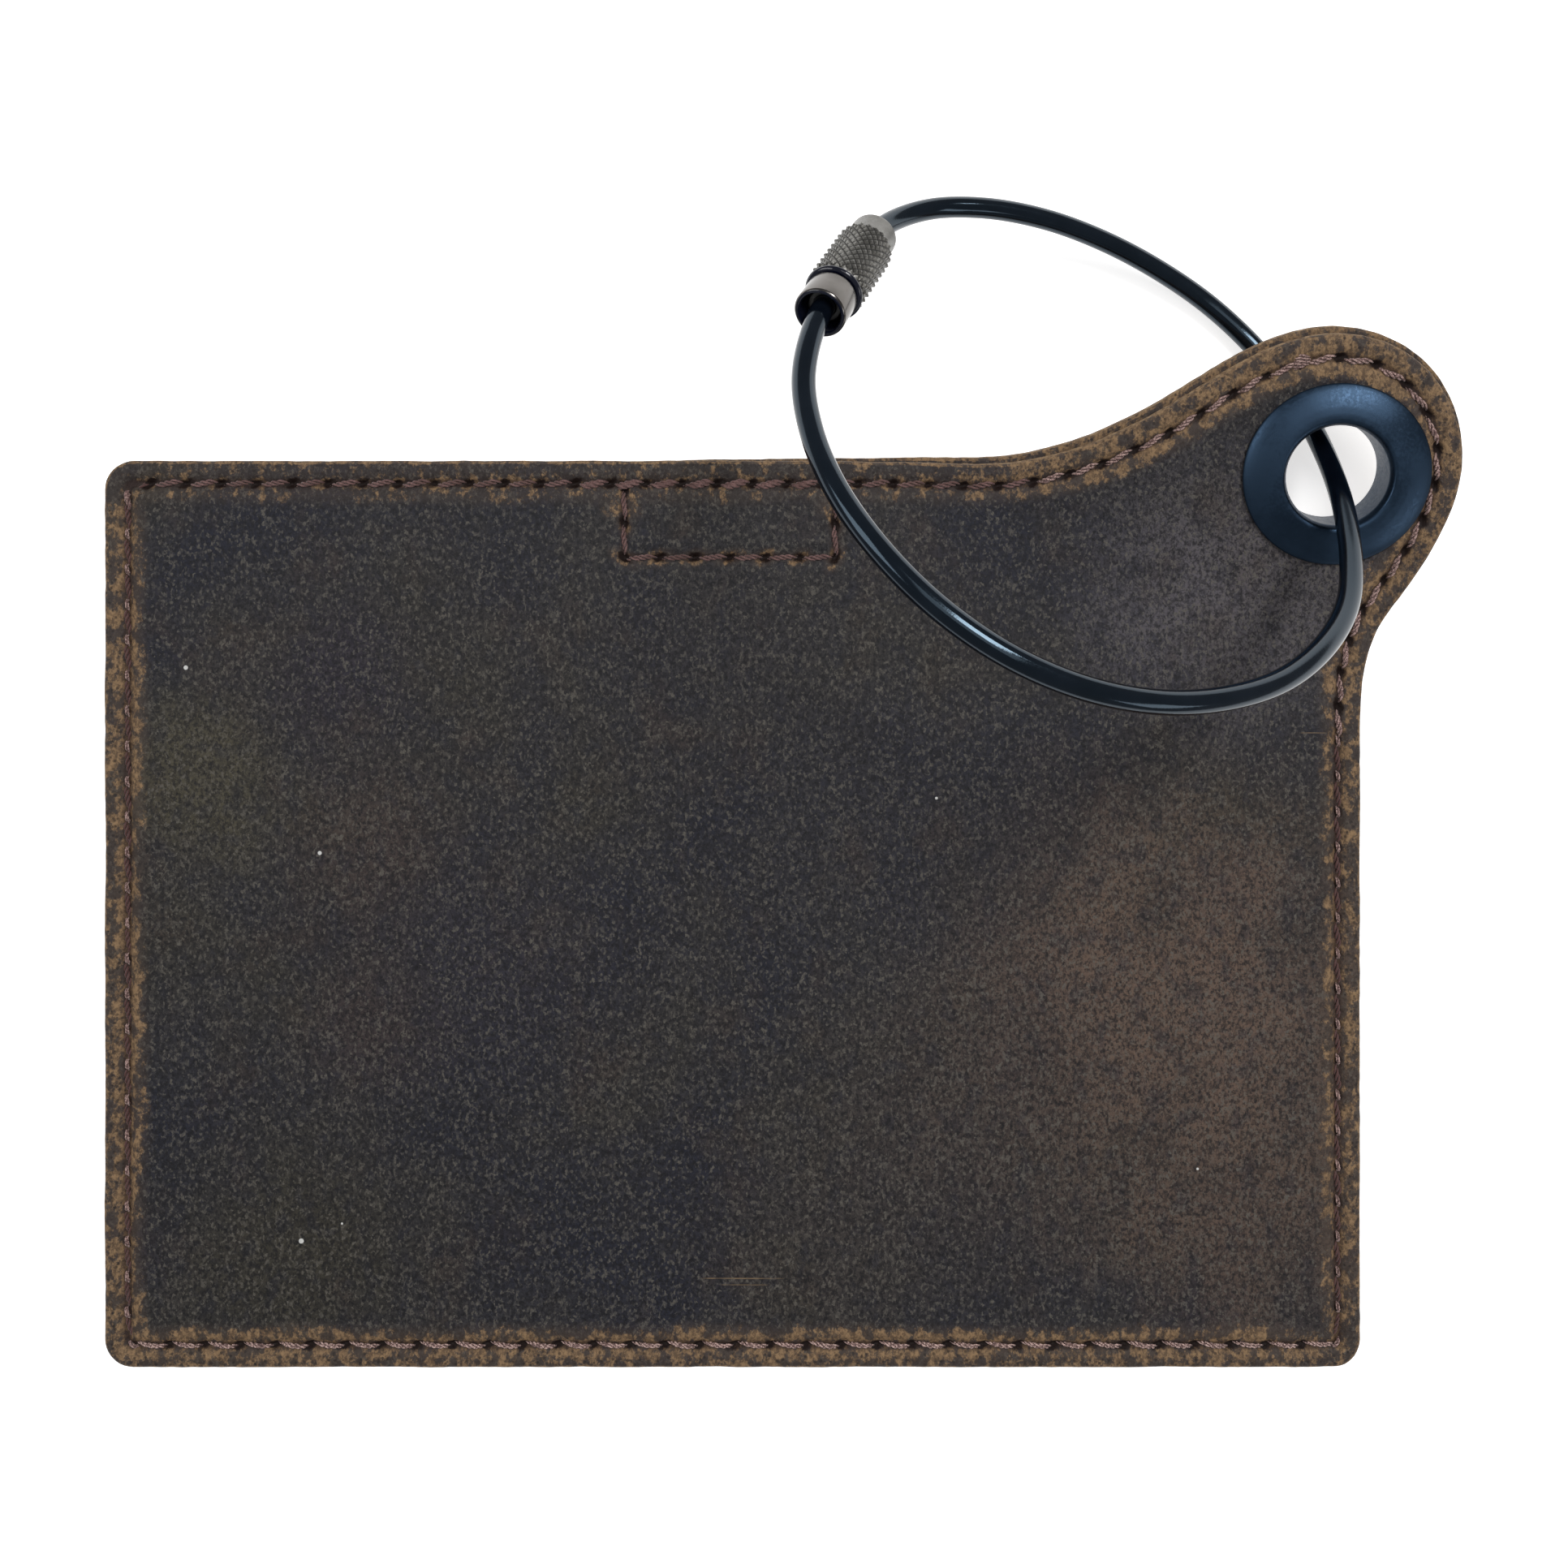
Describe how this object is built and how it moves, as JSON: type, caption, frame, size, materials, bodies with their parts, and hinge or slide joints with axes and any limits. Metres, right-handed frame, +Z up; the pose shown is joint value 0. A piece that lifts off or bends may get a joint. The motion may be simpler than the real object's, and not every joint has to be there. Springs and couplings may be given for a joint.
{
  "type": "luggage tag",
  "caption": "Leather luggage tag with a card pocket behind a window, an eyelet in an ear at one corner, and a cable loop with a screw lock.",
  "frame": {"origin": "on the surface the tag lies on, below the middle of the tag's own box, ear included", "axes": "+X along the tag's long side towards the ear, +Y towards the sewn edge with the ear, +Z up out of the plain face"},
  "size_m": [0.1156, 0.1004, 0.0348],
  "materials": {
    "front_leather": "waxed, distressed, charcoal brown with blue and tan blotches",
    "rear_leather": "raw tan edge, waxed brown face",
    "pocket_leather": "waxed charcoal brown",
    "clear_sheet": "clear flexible sheet",
    "card": "plain card",
    "thread": "waxed twisted thread, mauve brown",
    "eyelet_paint": "satin navy paint",
    "washer_steel": "satin",
    "cable_jacket": "glossy black",
    "wire_rope": "stranded",
    "collar_steel": "satin",
    "ferrule": "plain",
    "lock_ring": "glossy black",
    "sleeve_steel": "diamond knurl, gunmetal"
  },
  "bodies": {
    "tag": {"front_panel": "front_leather", "rear_panel": "rear_leather", "pocket_panel": "pocket_leather", "clear_window": "clear_sheet", "perimeter_needle_thread": "thread", "perimeter_bobbin_thread": "thread", "box_needle_thread": "thread", "box_bobbin_thread": "thread", "window_needle_thread": "thread", "window_bobbin_thread": "thread", "eyelet": "eyelet_paint", "eyelet_washer": "washer_steel"},
    "card": {"address_card": "card"},
    "cable_loop": {"cable_jacket": "cable_jacket", "cable_core": "wire_rope", "screw_collar": "collar_steel", "collar_ferrule": "ferrule", "lock_ring": "lock_ring"},
    "sleeve_stop": {"stop_ferrule": "ferrule"},
    "sleeve": {"knurled_sleeve": "sleeve_steel"}
  },
  "joints": [
    {"name": "card_slide", "type": "slide", "parent": "tag", "child": "card", "axis": [1, 0, 0], "range_m": [0, 0.085]},
    {"name": "loop_swing", "type": "hinge", "parent": "tag", "child": "cable_loop", "pos_m": [0.04689, 0.03235, 0.00734], "axis": [0, -0.7151, 0.6991], "range_deg": [-80, 0]},
    {"name": "sleeve_travel", "type": "slide", "parent": "cable_loop", "child": "sleeve_stop", "axis": [0.3493, 0.5931, -0.7255], "range_m": [0, 0.0025]},
    {"name": "sleeve_turn", "type": "hinge", "parent": "sleeve_stop", "child": "sleeve", "pos_m": [0.00797, 0.05138, 0.0116], "axis": [0.3493, 0.5931, -0.7255], "range_deg": [0, 900]}
  ],
  "couplings": [
    {"joint": "sleeve_turn", "follows": "sleeve_travel", "rad_per_m": 6283.2}
  ]
}
